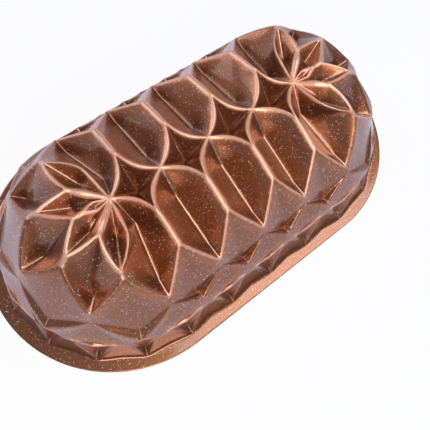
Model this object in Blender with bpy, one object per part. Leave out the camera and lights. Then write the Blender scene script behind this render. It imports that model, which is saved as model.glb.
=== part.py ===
"""Oval cake pan, lying mouth down: one cast shell whose wall carries a relief of pits and ridges.

The relief is a net of curved triangular patches over one quarter of the pan. The mirror planes
X = 0 and Y = 0 give the other three quarters. The inside follows the outside one wall away.
"""
import math

import bpy
import numpy as np
from mathutils.bvhtree import BVHTree

# Driving sizes, in metres.
PITCH = 0.0325              # from one almond pit to the next, along the straight side
END_RADIUS = 0.085          # outer edge of the flange, round each end
HEIGHT = 0.084              # from the mouth to the highest ridge
WALL = 0.0035
LEAST_WALL = 0.002          # behind the deepest pits
FLANGE_WIDTH = 0.0065       # from the widest foot of the wall to the flange's edge
FLANGE_THICKNESS = 0.003
FLANGE_CHAMFER = 0.0006
HUB_INSET = 0.001           # the rosette's hub lies this much nearer the middle than its arc
TIP_SPLAY = 0.0025          # the last almond's tip leans this much towards the end
TOE_SPLAY = 0.0036          # the toe below it leans this much
FOOT_SPLAY = 0.0015         # and the low end of its pit this much
PIT_INSET = 0.005           # but the head of its pit keeps this much clear of the petals
ARC_SWELL = 0.0036          # how far an almond's head arc stands off its chord
LEG_SWELL = 0.0005
END_LEG_SWELL = 0.0014      # the same for the legs round the end
HEEL_SWELL = 0.0016         # bow of the arcs between toes and heels, round the end
PETAL_SWELL = 0.0020
INNER_PETAL_SWELL = 0.0008
DOME_SWELL = 0.0006         # rise of the long ridges between their ends
MERGE_DISTANCE = 0.00001

# Counts.
HUB_STATION = 2             # stations run from the middle, one for each almond
LAST_STATION = 6            # four more stations turn the corner to the long axis
END_HEELS = (HUB_STATION + 1, HUB_STATION + 3)
STEPS = 2                   # cuts along each side of a patch
AVERAGING_ROUNDS = 3        # how widely the facing of the wall is averaged
EASING_ROUNDS = 2           # how often the ridges are eased on the inside
EASING_SHARE = 0.25         # and how much of their height goes each time
CLEARING_ROUNDS = 6         # how often the inside is moved off the pits
HALFWAY_SHARE = 0.25        # product of the two corners' shares, halfway along a side

STRAIGHT_HALF = HUB_STATION * PITCH
FOOT_RADIUS = END_RADIUS - FLANGE_WIDTH
STATION_TURN = math.radians(90) / (LAST_STATION - HUB_STATION)
CREASE_ANGLE = math.radians(14)

# Places on the relief: share of the foot radius, then share of the height.
CROSSING_SHARES = (0, 0.923)
HUB_SHARES = (0, 0.935)
CREST_HEAD_SHARES = (0.255, 0.976)
CREST_FOOT_SHARES = (0.520, 0.890)
TIP_SHARES = (0.734, 0.648)
PIT_HEAD_SHARES = (0.178, 0.758)
LAST_HEAD_SHARES = (0.197, 0.786)
PIT_FOOT_SHARES = (0.590, 0.643)
DIAMOND_SHARES = (0, 0.744)
HEEL_SHARES = (0.857, 0.435)
SCOOP_SHARES = (0.800, 0.405)
END_HEEL_SHARES = (0.903, 0.395)
END_SCOOP_SHARES = (0.833, 0.445)
TOE_SHARES = (0.760, 0.560)
END_TOE_SHARES = (0.770, 0.575)
DART_SIDE_SHARES = (0.903, 0.321)
DART_TOP_SHARES = (0.889, 0.337)
DART_LIP_SHARES = (0.917, 0.335)
DART_BACK_SHARES = (0.930, 0.082)
FOOT_OUT_SHARE = 1.0
FOOT_IN_SHARE = 0.970
DART_HALF_SHARE = 0.32      # of one station
END_DART_HALF_SHARE = 0.43
HEEL_DART_HALF_SHARE = 0.31

# Places on the rosette: angle from the long axis in degrees, then the same two shares.
OUTER_PETAL_SHARES = (65.7, 0.512, 0.946)
OUTER_STEM_SHARES = (66.5, 0.548, 0.923)
OUTER_SIDE_SHARES = (85.0, 0.274, 0.988)
OUTER_FLOOR_SHARES = (67.5, 0.248, 0.863)
INNER_PETAL_SHARES = (22.5, 0.464, 0.958)
INNER_STEM_SHARES = (22.5, 0.526, 0.917)
INNER_FLOOR_SHARES = (25.5, 0.250, 0.872)
SIDE_WEB_SHARES = (45.3, 0.261, 0.994)
OUTER_WEB_SHARES = (52.0, 0.158, 0.980)
INNER_WEB_SHARES = (38.0, 0.158, 0.980)
LEAF_SIDE_SHARES = (22.0, 0.100, 0.964)
LEAF_TIP_SHARES = (0, 0.184, 0.985)
LEAF_FLOOR_SHARES = (0, 0.100, 0.925)
END_WEB_SHARES = (0, 0.257, 0.990)
SIDE_KITE_TIP_SHARES = (45.0, 0.731, 0.674)
SIDE_KITE_FLOOR_SHARES = (45.0, 0.609, 0.661)
SIDE_KITE_BEND_SHARES = (40.2, 0.515, 0.774)
END_KITE_TIP_SHARES = (0, 0.724, 0.681)
END_KITE_FLOOR_SHARES = (0, 0.548, 0.667)


def along(station, radius_share, height_share):
    """A point at a station of the rim: beside the straight side, or round the end."""
    radius = radius_share * FOOT_RADIUS
    height = height_share * HEIGHT
    if station <= HUB_STATION:
        return np.array([station * PITCH, radius, height])
    angle = math.radians(90) - (station - HUB_STATION) * STATION_TURN
    return np.array([STRAIGHT_HALF + radius * math.cos(angle), radius * math.sin(angle), height])


def round_hub(degrees, radius_share, height_share):
    """A point of the rosette, by its angle from the long axis."""
    station = HUB_STATION + (math.radians(90) - math.radians(degrees)) / STATION_TURN
    return along(station, radius_share, height_share)


def foot(station, radius_share):
    """A point of the line where the wall meets the flange."""
    return along(station, radius_share, FLANGE_THICKNESS / HEIGHT)


def almond_points():
    """The almond pits, the diamonds between their heads and the side faces between their tips."""
    points = {}
    for station in range(HUB_STATION + 1):
        points["crossing", station] = along(station, *CROSSING_SHARES)
        points["pit head", station] = along(station, *PIT_HEAD_SHARES)
        points["pit foot", station] = along(station, *PIT_FOOT_SHARES)
        points["tip", station] = along(station, *TIP_SHARES)
        points["toe", station] = along(station, *TOE_SHARES)
    points["crossing", HUB_STATION] = along(HUB_STATION, *HUB_SHARES) - [HUB_INSET, 0, 0]
    points["tip", HUB_STATION] += [TIP_SPLAY, 0, 0]
    points["toe", HUB_STATION] = along(HUB_STATION, *END_TOE_SHARES) + [TOE_SPLAY, 0, 0]
    points["pit head", HUB_STATION] = along(HUB_STATION, *LAST_HEAD_SHARES) - [PIT_INSET, 0, 0]
    points["pit foot", HUB_STATION] += [FOOT_SPLAY, 0, 0]
    for station in range(HUB_STATION):
        between = station + 0.5
        points["diamond", between] = along(between, *DIAMOND_SHARES)
        points["crest head", between] = along(between, *CREST_HEAD_SHARES)
        points["crest foot", between] = along(between, *CREST_FOOT_SHARES)
        middle = (points["toe", station][0] + points["toe", station + 1][0]) / 2 / PITCH
        points["heel", between] = along(middle, *HEEL_SHARES)
        points["scoop", between] = along(middle, *SCOOP_SHARES)
    return points


def rosette_points():
    """The petals, the leaf, the kites and the side faces round one end."""
    outer, inner = HUB_STATION + 1, HUB_STATION + 3
    points = {
        "outer petal": round_hub(*OUTER_PETAL_SHARES),
        "outer stem": round_hub(*OUTER_STEM_SHARES),
        "outer side": round_hub(*OUTER_SIDE_SHARES),
        "outer floor": round_hub(*OUTER_FLOOR_SHARES),
        "inner petal": round_hub(*INNER_PETAL_SHARES),
        "inner stem": round_hub(*INNER_STEM_SHARES),
        "inner floor": round_hub(*INNER_FLOOR_SHARES),
        "side web": round_hub(*SIDE_WEB_SHARES),
        "outer web": round_hub(*OUTER_WEB_SHARES),
        "inner web": round_hub(*INNER_WEB_SHARES),
        "leaf side": round_hub(*LEAF_SIDE_SHARES),
        "leaf tip": round_hub(*LEAF_TIP_SHARES),
        "leaf floor": round_hub(*LEAF_FLOOR_SHARES),
        "end web": round_hub(*END_WEB_SHARES),
        "side kite floor": round_hub(*SIDE_KITE_FLOOR_SHARES),
        "side kite bend": round_hub(*SIDE_KITE_BEND_SHARES),
        "end kite floor": round_hub(*END_KITE_FLOOR_SHARES),
        ("tip", outer + 1): round_hub(*SIDE_KITE_TIP_SHARES),
        ("tip", inner + 1): round_hub(*END_KITE_TIP_SHARES),
    }
    for station in (outer, inner):
        points["heel", station] = along(station, *END_HEEL_SHARES)
        points["scoop", station] = along(station, *END_SCOOP_SHARES)
        points["toe", station + 1] = along(station + 1, *END_TOE_SHARES)
    return points


def skirt_points():
    """The dart pits in the skirt and the wavy foot of the wall."""
    points = {}
    for station in range(LAST_STATION + 1):
        points["foot out", station] = foot(station, FOOT_OUT_SHARE)
        points["foot in", station + 0.5] = foot(station + 0.5, FOOT_IN_SHARE)
        points["dart back", station] = along(station, *DART_BACK_SHARES)
        left, right = dart_halves(station)
        points["dart left", station] = along(station - left, *DART_SIDE_SHARES)
        points["dart right", station] = along(station + right, *DART_SIDE_SHARES)
        if station not in END_HEELS:
            points["dart top", station] = along(station, *DART_TOP_SHARES)
            points["dart lip", station] = along(station, *DART_LIP_SHARES)
    return points


def dart_halves(station):
    """How far a dart reaches to either side, as shares of a station."""
    if station in END_HEELS:
        return HEEL_DART_HALF_SHARE, HEEL_DART_HALF_SHARE
    if station < HUB_STATION:
        return DART_HALF_SHARE, DART_HALF_SHARE
    if station == HUB_STATION:
        return DART_HALF_SHARE, END_DART_HALF_SHARE
    return END_DART_HALF_SHARE, END_DART_HALF_SHARE


def dart_top(station):
    """The top corner of a dart, which under a heel of the end is that heel."""
    return ("heel", station) if station in END_HEELS else ("dart top", station)


def neighbour(station, side):
    """The station of the tip beside a heel: half a pitch off on the straight, one on the end."""
    if station < HUB_STATION:
        return int(station + side / 2)
    return station + side


def almond_half(station, side):
    """The wall of an almond pit on one side of its midrib."""
    crossing, head = ("crossing", station), ("crest head", station + side / 2)
    crest, tip = ("crest foot", station + side / 2), ("tip", station)
    pit_head, pit_foot = ("pit head", station), ("pit foot", station)
    return [(crossing, pit_head, head), (head, pit_head, crest),
            (pit_head, pit_foot, crest), (crest, pit_foot, tip)]


def side_face(top, station):
    """A face of the shoulder from its top corner down to the scoop, and the scoop's two sides."""
    heel, scoop = ("heel", station), ("scoop", station)
    patches = []
    for side in (-1, 1):
        tip, toe = ("tip", neighbour(station, side)), ("toe", neighbour(station, side))
        patches += [(top, tip, scoop), (tip, toe, scoop), (toe, heel, scoop)]
    return patches


def band_above_darts(station, side):
    """The face from a toe down to the darts, on one side of the toe."""
    toe = ("toe", station)
    near = ("dart right", station) if side > 0 else ("dart left", station)
    far = ("dart left", station + side) if side > 0 else ("dart right", station + side)
    patches = [(toe, near, dart_top(station))]
    if station + side in END_HEELS:
        return patches + [(toe, near, far), (toe, ("heel", station + side), far)]
    heel = ("heel", station + side / 2)
    patches.append((toe, heel, near))
    if side > 0:
        patches.append((heel, near, far))
    return patches


def skirt(station):
    """The skirt from one dart to the next."""
    right, left = ("dart right", station), ("dart left", station + 1)
    foot_in = ("foot in", station + 0.5)
    return [(right, left, foot_in), (right, foot_in, ("foot out", station)),
            (left, foot_in, ("foot out", station + 1))]


def dart_half(station, side_name):
    """One side of a dart: the ledge over it, its upright back and its sloping floor."""
    corner, back = (side_name, station), ("dart back", station)
    floor = (corner, back, ("foot out", station))
    if station in END_HEELS:
        return [(corner, ("heel", station), back), floor]
    lip = ("dart lip", station)
    return [(corner, ("dart top", station), lip), (corner, lip, back), floor]


def rosette():
    """The pits round the hub and the kites beyond them."""
    hub, end = ("crossing", HUB_STATION), HUB_STATION + 4
    pit_head, pit_foot, tip = (("pit head", HUB_STATION), ("pit foot", HUB_STATION),
                               ("tip", HUB_STATION))
    side_tip, end_tip = ("tip", HUB_STATION + 2), ("tip", end)
    patches = [(hub, pit_head, "outer side"), ("outer side", pit_head, "outer petal"),
               (pit_head, pit_foot, "outer petal"), ("outer petal", pit_foot, "outer stem"),
               ("outer stem", pit_foot, tip)]
    outline = [hub, "outer side", "outer petal", "side web", "outer web", hub]
    patches += [(a, b, "outer floor") for a, b in zip(outline, outline[1:])]
    outline = [hub, "inner web", "side web", "inner petal", "end web", "leaf tip", "leaf side", hub]
    patches += [(a, b, "inner floor") for a, b in zip(outline, outline[1:])]
    patches += [(hub, "outer web", "inner web"), ("outer web", "side web", "inner web"),
                (hub, "leaf side", "leaf floor"), ("leaf side", "leaf tip", "leaf floor")]
    bend, floor = "side kite bend", "side kite floor"
    patches += [("side web", "outer petal", bend), ("outer petal", "outer stem", bend),
                ("outer stem", floor, bend), ("outer stem", side_tip, floor),
                (side_tip, "inner stem", floor), ("inner stem", bend, floor),
                ("inner stem", "inner petal", bend), ("inner petal", "side web", bend)]
    patches += [("end web", "inner petal", "end kite floor"),
                ("inner petal", "inner stem", "end kite floor"),
                ("inner stem", end_tip, "end kite floor")]
    return patches


def quarter_patches():
    """Every patch of the quarter, as the names of its three corners."""
    patches = []
    for station in range(HUB_STATION):
        between = station + 0.5
        patches += almond_half(station, 1) + almond_half(station + 1, -1)
        patches += side_face(("crest foot", between), between)
        patches += [(("crossing", station), ("crest head", between), ("diamond", between)),
                    (("crossing", station + 1), ("crest head", between), ("diamond", between))]
    patches += side_face("outer stem", HUB_STATION + 1) + side_face("inner stem", HUB_STATION + 3)
    for station in (0, 1, 2, 4, 6):
        for side in (-1, 1):
            if 0 <= station + side <= LAST_STATION:
                patches += band_above_darts(station, side)
    for station in range(LAST_STATION):
        patches += skirt(station) + dart_half(station, "dart right")
        patches += dart_half(station + 1, "dart left")
    return patches + rosette()


def ridge_bulges(points):
    """How far the middle of each curved ridge stands off its chord."""
    def off_chord(a, b, swell, lift=0.0, towards=None):
        chord = points[b] - points[a]
        across = np.array([chord[1], -chord[0], 0])
        across /= np.linalg.norm(across)
        if across @ (towards - points[a]) < 0:
            across = -across
        return frozenset((a, b)), across * swell + np.array([0, 0, lift])
    curves = []
    for station in range(HUB_STATION):
        between = station + 0.5
        head, crest = ("crest head", between), ("crest foot", between)
        for side in (0, 1):
            lens = station + side
            curves += [(("crossing", lens), head, ARC_SWELL, DOME_SWELL, ("diamond", between)),
                       (crest, ("tip", lens), LEG_SWELL, 0.0, ("heel", between))]
        curves.append((head, crest, 0.0, DOME_SWELL, ("tip", station)))
    curves += [("side web", "outer petal", PETAL_SWELL, DOME_SWELL, "side kite bend"),
               ("outer side", "outer petal", PETAL_SWELL, DOME_SWELL, ("pit head", HUB_STATION)),
               ("side web", "inner petal", INNER_PETAL_SWELL, DOME_SWELL, "side kite bend"),
               ("end web", "inner petal", INNER_PETAL_SWELL, DOME_SWELL, "end kite floor")]
    for station, stem in zip(END_HEELS, ("outer stem", "inner stem")):
        heel, below = ("heel", station), ("foot out", station)
        for side in (-1, 1):
            curves.append((stem, ("tip", station + side), END_LEG_SWELL, DOME_SWELL, heel))
            curves.append((("toe", station + side), heel, HEEL_SWELL, 0.0, below))
    return dict(off_chord(a, b, swell, lift, points[near]) for a, b, swell, lift, near in curves)


def outward(a, b, c):
    """True when the corners run anticlockwise from above: every face tapers, so all look up."""
    return np.cross(b - a, c - a)[2] > 0


def patch_grid(corners, bulges):
    """Points of one patch by row, and its triangles: a quadratic patch with bulging sides."""
    place, points = {}, []
    for i in range(STEPS + 1):
        for j in range(STEPS + 1 - i):
            share = np.array([STEPS - i - j, i, j]) / STEPS
            point = share @ corners
            for first, second, bulge in zip((0, 1, 2), (1, 2, 0), bulges):
                point = point + share[first] * share[second] / HALFWAY_SHARE * bulge
            place[i, j] = len(points)
            points.append(point)
    triangles = []
    for i in range(STEPS):
        for j in range(STEPS - i):
            triangles.append((place[i, j], place[i + 1, j], place[i, j + 1]))
            if i + j < STEPS - 1:
                triangles.append((place[i + 1, j], place[i + 1, j + 1], place[i, j + 1]))
    return points, triangles


def quarter_relief():
    """The outer relief of the quarter as joined points and outward triangles."""
    points = {**almond_points(), **rosette_points(), **skirt_points()}
    bulges = ridge_bulges(points)
    level = np.zeros(3)
    vertices, faces = [], []
    for names in quarter_patches():
        if not outward(*(points[name] for name in names)):
            names = names[::-1]
        sides = [bulges.get(frozenset(pair), level) for pair in zip(names, names[1:] + names[:1])]
        grid, triangles = patch_grid(np.array([points[name] for name in names]), sides)
        faces += [tuple(corner + len(vertices) for corner in triangle) for triangle in triangles]
        vertices += grid
    return join(np.array(vertices), np.array(faces))


def join(vertices, faces):
    """Merge the points that neighbouring patches share."""
    keys = np.round(vertices / MERGE_DISTANCE).astype(int)
    unused, first, index = np.unique(keys, axis=0, return_index=True, return_inverse=True)
    return vertices[first], index.reshape(-1)[faces]


def inner_relief(vertices, faces):
    """The inside: one wall further in, with every ridge eased so that none folds over."""
    normals = np.zeros_like(vertices)
    a, b, c = (vertices[faces[:, corner]] for corner in range(3))
    for corner in range(3):
        np.add.at(normals, faces[:, corner], np.cross(b - a, c - a))
    mouth = foot_line(vertices)
    for unused in range(AVERAGING_ROUNDS):
        normals = held_normals(normals, vertices, mouth)
        normals = around(normals, faces)
    normals = held_normals(normals, vertices, mouth)
    eased = vertices.copy()
    for unused in range(EASING_ROUNDS):
        stand = ((eased - mirrored_mean(eased, faces)) * normals).sum(1)
        stand[mouth] = 0
        eased -= normals * np.maximum(stand, 0)[:, None] * EASING_SHARE
    inside = clear_of_pits(vertices, eased - normals * WALL, normals, faces)
    inside[mouth, 2] = 0
    return inside


def clear_of_pits(outside, inside, normals, faces):
    """The inside, moved further in wherever a pit of the outside comes too near it."""
    mouth = foot_line(outside)
    for unused in range(CLEARING_ROUNDS):
        surface = BVHTree.FromPolygons(inside.tolist(), faces.tolist())
        push = np.zeros(len(inside))
        for point in outside.tolist():
            place, facing, face, distance = surface.find_nearest(point)
            push[faces[face]] = np.maximum(push[faces[face]], LEAST_WALL - distance)
        push[mouth] = 0
        inside = inside - normals * push[:, None]
    return inside


def around(values, faces):
    """Each point's value, added up with its neighbours' values."""
    total = values.copy()
    for corner in range(3):
        np.add.at(total, faces[:, corner], values[faces[:, corner - 1]] + values[faces[:, corner - 2]])
    return total


def mirrored_mean(points, faces):
    """The average of each point and its neighbours, with the other quarters' taken in."""
    count = around(np.ones((len(points), 1)), faces)
    mean = around(points, faces) / count
    for axis in (0, 1):
        mean[on_plane(points, axis), axis] = 0
    return mean


def held_normals(normals, vertices, mouth):
    """Unit normals, kept in the mirror planes and level along the foot line."""
    normals[on_plane(vertices, 0), 0] = 0
    normals[on_plane(vertices, 1), 1] = 0
    normals[mouth] = outward_step(vertices[mouth])
    return normals / np.linalg.norm(normals, axis=1)[:, None]


def on_plane(vertices, axis):
    """Which points lie on a mirror plane."""
    return np.abs(vertices[:, axis]) < MERGE_DISTANCE


def foot_line(vertices):
    """Indices of the points where the wall meets the flange, from the middle to the end."""
    low = np.flatnonzero(vertices[:, 2] < FLANGE_THICKNESS + MERGE_DISTANCE)
    steps = outward_step(vertices[low])
    return low[np.lexsort((steps[:, 0], np.minimum(vertices[low, 0], STRAIGHT_HALF)))]


def outward_step(vertices):
    """Unit direction straight out of the oval, level with the mouth."""
    steps = vertices.copy()
    steps[:, 0] = np.maximum(steps[:, 0] - STRAIGHT_HALF, 0)
    steps[:, 2] = 0
    return steps / np.linalg.norm(steps, axis=1)[:, None]


def quarter_shell():
    """Relief, inside and flange of the quarter, open only at the two mirror planes."""
    outside, faces = quarter_relief()
    inside = inner_relief(outside, faces)
    count = len(outside)
    mouth = foot_line(outside)
    steps = outward_step(outside[mouth])
    spine = outside[mouth].copy()
    spine[:, 0] = np.minimum(spine[:, 0], STRAIGHT_HALF)
    spine[:, 1:] = 0
    profile = [(END_RADIUS - FLANGE_CHAMFER, FLANGE_THICKNESS),
               (END_RADIUS, FLANGE_THICKNESS - FLANGE_CHAMFER),
               (END_RADIUS, FLANGE_CHAMFER), (END_RADIUS - FLANGE_CHAMFER, 0)]
    rings = [spine + steps * radius + np.array([0, 0, height]) for radius, height in profile]
    vertices = np.vstack([outside, inside] + rings)
    starts = [2 * count + ring * len(mouth) + np.arange(len(mouth)) for ring in range(len(rings))]
    loops = [mouth] + starts + [mouth + count]
    polygons = [tuple(face) for face in faces]
    polygons += [tuple(face[::-1] + count) for face in faces]
    for upper, lower in zip(loops, loops[1:]):
        for k in range(len(mouth) - 1):
            polygons.append((upper[k], upper[k + 1], lower[k + 1], lower[k]))
    return vertices, polygons


def coating_material():
    """Brown speckled non-stick coating with a copper sheen."""
    material = bpy.data.materials.new("granite_coating")
    material.use_nodes = True
    shader = material.node_tree.nodes["Principled BSDF"]
    shader.inputs["Base Color"].default_value = (0.155, 0.062, 0.035, 1)
    shader.inputs["Roughness"].default_value = 0.32
    shader.inputs["Metallic"].default_value = 0.35
    material.diffuse_color = (0.155, 0.062, 0.035, 1)
    return material


def pan_casting():
    """The whole pan: the quarter, mirrored across both planes."""
    vertices, polygons = quarter_shell()
    mesh = bpy.data.meshes.new("pan_casting")
    mesh.from_pydata(vertices.tolist(), [], [[int(i) for i in face] for face in polygons])
    mesh.materials.append(coating_material())
    mesh.shade_smooth()
    mesh.set_sharp_from_angle(angle=CREASE_ANGLE)
    pan = bpy.data.objects.new("pan_casting", mesh)
    bpy.context.scene.collection.objects.link(pan)
    mirror = pan.modifiers.new("quarters", "MIRROR")
    mirror.use_axis = (True, True, False)
    mirror.use_clip = True
    mirror.merge_threshold = MERGE_DISTANCE
    return pan


def main():
    for item in list(bpy.data.objects):
        bpy.data.objects.remove(item, do_unlink=True)
    pan_casting()


main()
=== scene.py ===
"""Oval cake pan, lying mouth down: the cast shell with its coating, on a pale studio floor."""
import math

import bpy
import numpy as np
from bpy.props import FloatProperty, FloatVectorProperty, IntProperty, PointerProperty
from bpy.types import Operator, Panel, PropertyGroup
from mathutils import Matrix, Vector


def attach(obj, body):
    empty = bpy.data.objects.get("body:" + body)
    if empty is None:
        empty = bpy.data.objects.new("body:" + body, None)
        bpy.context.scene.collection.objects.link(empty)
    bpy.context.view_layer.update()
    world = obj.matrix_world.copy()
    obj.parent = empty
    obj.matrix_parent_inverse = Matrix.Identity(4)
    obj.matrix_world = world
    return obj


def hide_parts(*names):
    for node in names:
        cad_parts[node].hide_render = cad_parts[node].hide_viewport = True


bl_info = {
    "name": "Oval cake pan",
    "version": (1, 0, 0),
    "blender": (4, 5, 0),
    "location": "3D View > Sidebar > Cake pan",
    "description": "Builds the coated oval cake pan and its studio stage over the packed frame",
    "category": "Object",
}

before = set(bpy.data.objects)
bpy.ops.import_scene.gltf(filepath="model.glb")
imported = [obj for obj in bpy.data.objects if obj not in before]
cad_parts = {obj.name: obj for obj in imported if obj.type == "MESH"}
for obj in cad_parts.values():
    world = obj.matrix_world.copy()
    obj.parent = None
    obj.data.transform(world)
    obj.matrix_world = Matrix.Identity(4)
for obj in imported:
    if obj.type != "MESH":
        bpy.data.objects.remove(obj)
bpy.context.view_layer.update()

PHOTO_SIDE = 430
HUB_STATION = 2
LAST_STATION = 6
END_HEELS = (3, 5)
STATION_TURN = math.radians(90) / (LAST_STATION - HUB_STATION)

# Places on the relief: share of the foot radius, then share of the height.
CROSSING_SHARES = (0, 0.923)
HUB_SHARES = (0, 0.935)
CREST_HEAD_SHARES = (0.255, 0.976)
CREST_FOOT_SHARES = (0.520, 0.890)
TIP_SHARES = (0.734, 0.648)
PIT_HEAD_SHARES = (0.178, 0.758)
LAST_HEAD_SHARES = (0.197, 0.786)
PIT_FOOT_SHARES = (0.590, 0.643)
DIAMOND_SHARES = (0, 0.744)
HEEL_SHARES = (0.857, 0.435)
SCOOP_SHARES = (0.800, 0.405)
END_HEEL_SHARES = (0.903, 0.395)
END_SCOOP_SHARES = (0.833, 0.445)
TOE_SHARES = (0.760, 0.560)
END_TOE_SHARES = (0.770, 0.575)
DART_SIDE_SHARES = (0.903, 0.321)
DART_TOP_SHARES = (0.889, 0.337)
DART_LIP_SHARES = (0.917, 0.335)
DART_BACK_SHARES = (0.930, 0.082)
FOOT_OUT_SHARE = 1.0
FOOT_IN_SHARE = 0.970
DART_HALF_SHARE = 0.32
END_DART_HALF_SHARE = 0.43
HEEL_DART_HALF_SHARE = 0.31

# Places on the rosette: angle from the long axis in degrees, then the same two shares.
OUTER_PETAL_SHARES = (65.7, 0.512, 0.946)
OUTER_STEM_SHARES = (66.5, 0.548, 0.923)
OUTER_SIDE_SHARES = (85.0, 0.274, 0.988)
OUTER_FLOOR_SHARES = (67.5, 0.248, 0.863)
INNER_PETAL_SHARES = (22.5, 0.464, 0.958)
INNER_STEM_SHARES = (22.5, 0.526, 0.917)
INNER_FLOOR_SHARES = (25.5, 0.250, 0.872)
SIDE_WEB_SHARES = (45.3, 0.261, 0.994)
OUTER_WEB_SHARES = (52.0, 0.158, 0.980)
INNER_WEB_SHARES = (38.0, 0.158, 0.980)
LEAF_SIDE_SHARES = (22.0, 0.100, 0.964)
LEAF_TIP_SHARES = (0, 0.184, 0.985)
LEAF_FLOOR_SHARES = (0, 0.100, 0.925)
END_WEB_SHARES = (0, 0.257, 0.990)
SIDE_KITE_TIP_SHARES = (45.0, 0.731, 0.674)
SIDE_KITE_FLOOR_SHARES = (45.0, 0.609, 0.661)
SIDE_KITE_BEND_SHARES = (40.2, 0.515, 0.774)
END_KITE_TIP_SHARES = (0, 0.724, 0.681)
END_KITE_FLOOR_SHARES = (0, 0.548, 0.667)

# The rings of the flange, as shares of its top, its edge and its underside, and how worn each is.
FLANGE_TOP_SHARES = (0.06, 0.16, 0.32, 0.52, 0.72, 0.88, 0.96, 1)
FLANGE_EDGE_SHARES = (0.85, 0.6, 0.35, 0.15, 0)
FLANGE_UNDER_SHARES = (0.05, 0.15, 0.4, 0.7, 0.92, 1)
FLANGE_WEAR_SHARES = np.array([0, 0, 0, .1, .2, .2, .2, .3, .3, .1, 0, 0, 0, 0, 0, 0, 0, 0, 0])

# How the fine mesh is cut and eased, in metres where it is a length.
HALFWAY_SHARE = 0.25        # product of the two corners' shares, halfway along a side
GRADING = 1.4               # above 1, the cuts are finer towards a patch's sides
LEAST_FOLD = 12             # degrees; at a flatter edge two faces run together
SPREAD_SLOPE = 0.6          # how fast the rounding widens away from a crease
FOOT_ROUND = 0.0009         # softness where the wall meets the flange
FLANGE_ROUND = 0.0006
INSIDE_ROUND = 0.0022       # softness of the relief as the inside shows it
FACING_REACH = 0.009        # how widely the facing of the wall is averaged
MIDDLE_TOLERANCE = 1e-7     # a point this near a middle plane lies on it
FOOT_TOLERANCE = 1e-6
JOIN_GRID, MIRROR_GRID = 1e6, 1e7   # points in the same cell of so many to the metre are joined
LINE_CUTS = 8               # straight pieces that stand for one curved edge
SOLVER_ROUNDS = 400
SOLVER_GOAL, LEAST_ENERGY, LEAST_IMAGE = 1e-10, 1e-30, 1e-300
LEAST_AREA = 1e-14

# The coating: its blotches, grain and swell to the metre, then shares, ranges and shader values.
BLOTCH_SCALE, GRAIN_SCALE, SWELL_SCALE = 420.0, 1500.0, 700.0
UNEVEN_SHARE = 0.55         # how much the unevenness breaks up the edge of a colour
# The pale valley lines are painted highlights along the creases, drawn in the copper colour of the
# worn ridges.
CREASE_GLINT_SHARE = 0.75           # how much a pale valley line shows beside a worn ridge
WARM_RANGE, COPPER_RANGE, DARK_RANGE = (0.12, 0.95), (0.28, 0.80), (0.35, 0.75)
DARK_SHARE, DARK_LEVEL = 0.35, 0.45
DOT_SIZE, DOT_SHARE = 0.00020, 0.55
DUST_SIZE, DUST_SHARE, DUST_LEVEL = 0.00012, 0.3, 0.6
METALLIC, COPPER_LOSS = 0.9, 0.4
UNEVEN_ROUGHNESS, COPPER_ROUGHNESS = 0.12, 0.08
SPECULAR_LEVEL, COAT_WEIGHT, COAT_ROUGHNESS = 0.5, 0.8, 0.08
BUMP_HEIGHT, BUMP_STRENGTH = 0.00008, 0.35

# The stage: where the lamps aim, and each lamp's place, size and tint.
FLOOR_HALF = 1.5
FLOOR_DROP = 0.0004
LAMP_TARGET = (0, 0, 0.03)
KEY_LAMP = ((0.30, -0.15, 0.87), (0.46, 0.78), (0.80, 0.87, 1))
FRONT_LAMP = ((-0.34, -0.58, 0.72), (0.5, 0.4), (1, 1, 1))
BACK_LAMP = ((-0.5, 0.9, 0.5), (0.7, 0.7), (0.84, 0.88, 1))

# The photo's camera, found by fitting the pan's own points: metres, and pixels of its side.
VIEW_PLACE = (-0.08843, -0.09198, 0.32683)
VIEW_ROWS = ((0.77415, -0.61649, 0.14367), (-0.54690, -0.76567, -0.33860),
             (0.31875, 0.18355, -0.92990))
VIEW_FOCAL = 489.02
VIEW_CENTRE = (250.66, 197.06)
SENSOR_WIDTH = 36
NEAR_CLIP = 0.01


def length_setting(name, default, description):
    """A length that a user may change."""
    return FloatProperty(name=name, description=description, default=default, unit="LENGTH")


def power_setting(name, default, description):
    """The power of a lamp."""
    return FloatProperty(name=name, description=description, default=default, min=0, unit="POWER")


def share_setting(name, default, description):
    """A share from 0 to 1."""
    return FloatProperty(name=name, description=description, default=default, min=0, max=1,
                         subtype="FACTOR")


def color_setting(name, default, description):
    """A colour that a user may change."""
    return FloatVectorProperty(name=name, description=description, default=default, size=3, min=0,
                               max=1, subtype="COLOR")


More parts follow.
